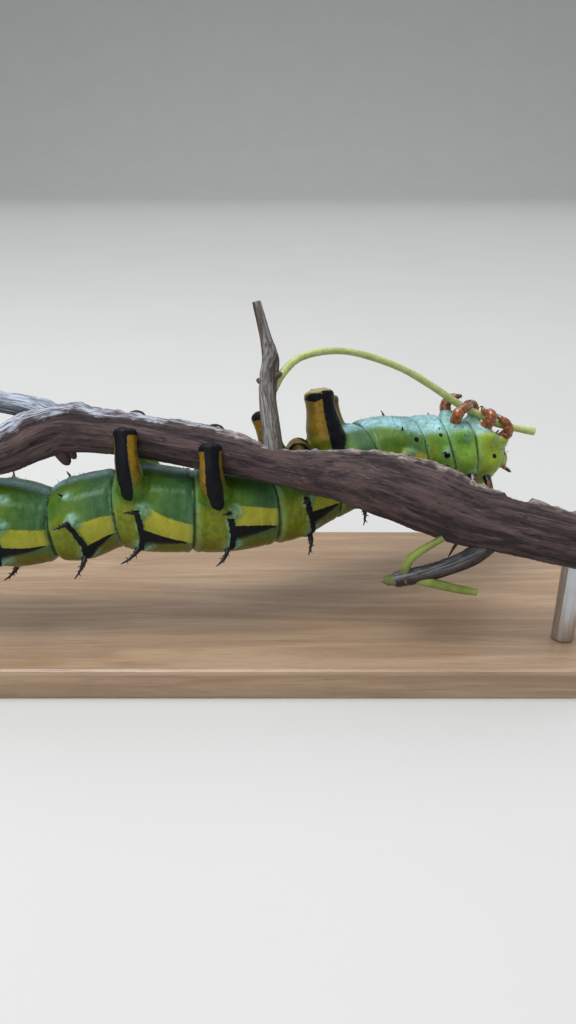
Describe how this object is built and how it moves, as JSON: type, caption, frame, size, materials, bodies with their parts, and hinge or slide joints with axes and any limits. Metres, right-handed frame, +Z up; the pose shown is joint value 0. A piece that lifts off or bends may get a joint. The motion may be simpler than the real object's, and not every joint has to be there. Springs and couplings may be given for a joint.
{
  "type": "hickory horned devil larva display model",
  "caption": "Life-size horned green moth larva hanging belly up under a cut branch, gripping a leaf stalk, held on a flat display base by rods.",
  "frame": {"origin": "on the display base's underside, near the middle of the base, below the middle of the picture's view", "axes": "+Z up, +X along the branch towards the larva's head, -Y towards the side that the picture is taken from, which is the larva's left"},
  "size_m": [0.164, 0.062, 0.0698],
  "materials": {
    "larva_skin": "soft, smooth green skin with a satin sheen",
    "proleg_skin": "soft yellow-brown skin with black plates",
    "head_shell": "hard, glossy red-brown shell",
    "horn_shell": "hard orange horn with a black tip",
    "leg_shell": "hard, glossy amber shell",
    "bark": "dry, rough grey-brown bark",
    "petiole_green": "smooth, waxy green stalk",
    "base_wood": "plain oiled wood",
    "rod_steel": "brushed steel"
  },
  "bodies": {
    "root": {"abdomen_1": "larva_skin", "abdomen_10": "larva_skin", "abdomen_2": "larva_skin", "abdomen_3": "larva_skin", "abdomen_4": "larva_skin", "abdomen_5": "larva_skin", "abdomen_6": "larva_skin", "abdomen_7": "larva_skin", "abdomen_8": "larva_skin", "abdomen_9": "larva_skin", "anal_proleg_left": "proleg_skin", "anal_proleg_right": "proleg_skin", "head": "head_shell", "horn_t1_left": "horn_shell", "horn_t1_right": "horn_shell", "horn_t2_back_left": "horn_shell", "horn_t2_back_right": "horn_shell", "horn_t2_side_left": "horn_shell", "horn_t2_side_right": "horn_shell", "horn_t3_back_left": "horn_shell", "horn_t3_back_right": "horn_shell", "horn_t3_side_left": "horn_shell", "horn_t3_side_right": "horn_shell", "leg_t1_left": "leg_shell", "leg_t1_right": "leg_shell", "leg_t2_left": "leg_shell", "leg_t2_right": "leg_shell", "leg_t3_left": "leg_shell", "leg_t3_right": "leg_shell", "perch_branch": "bark", "perch_fork": "bark", "perch_petiole": "petiole_green", "perch_side_twig": "bark", "perch_twig": "bark", "proleg_a3_left": "proleg_skin", "proleg_a3_right": "proleg_skin", "proleg_a4_left": "proleg_skin", "proleg_a4_right": "proleg_skin", "proleg_a5_left": "proleg_skin", "proleg_a5_right": "proleg_skin", "proleg_a6_left": "proleg_skin", "proleg_a6_right": "proleg_skin", "stand_base": "base_wood", "stand_rod_left": "rod_steel", "stand_rod_right": "rod_steel", "thorax_1": "larva_skin", "thorax_2": "larva_skin", "thorax_3": "larva_skin"}
  },
  "joints": []
}
